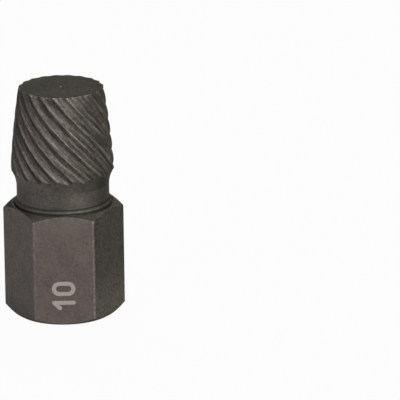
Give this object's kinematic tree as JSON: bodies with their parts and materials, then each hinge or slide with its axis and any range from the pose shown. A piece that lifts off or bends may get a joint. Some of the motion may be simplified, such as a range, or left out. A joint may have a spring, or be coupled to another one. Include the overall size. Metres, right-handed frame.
{
  "type": "screw extractor",
  "caption": "Short screw extractor with a chamfered hexagonal drive body, a round collar and a tapered head with left-hand spiral flutes.",
  "frame": {"origin": "centre of the hexagonal body's flat bottom face", "axes": "+Z along the tool's axis from the hexagonal body to the fluted tip; one flat of the hexagon faces -Y, and corners lie on +X and -X"},
  "size_m": [0.0146, 0.0126, 0.0283],
  "materials": {
    "oxide_steel": "dark brown-black oxide, satin, lightly worn at the edges"
  },
  "bodies": {
    "root": {"screw_extractor": "oxide_steel"}
  },
  "joints": []
}
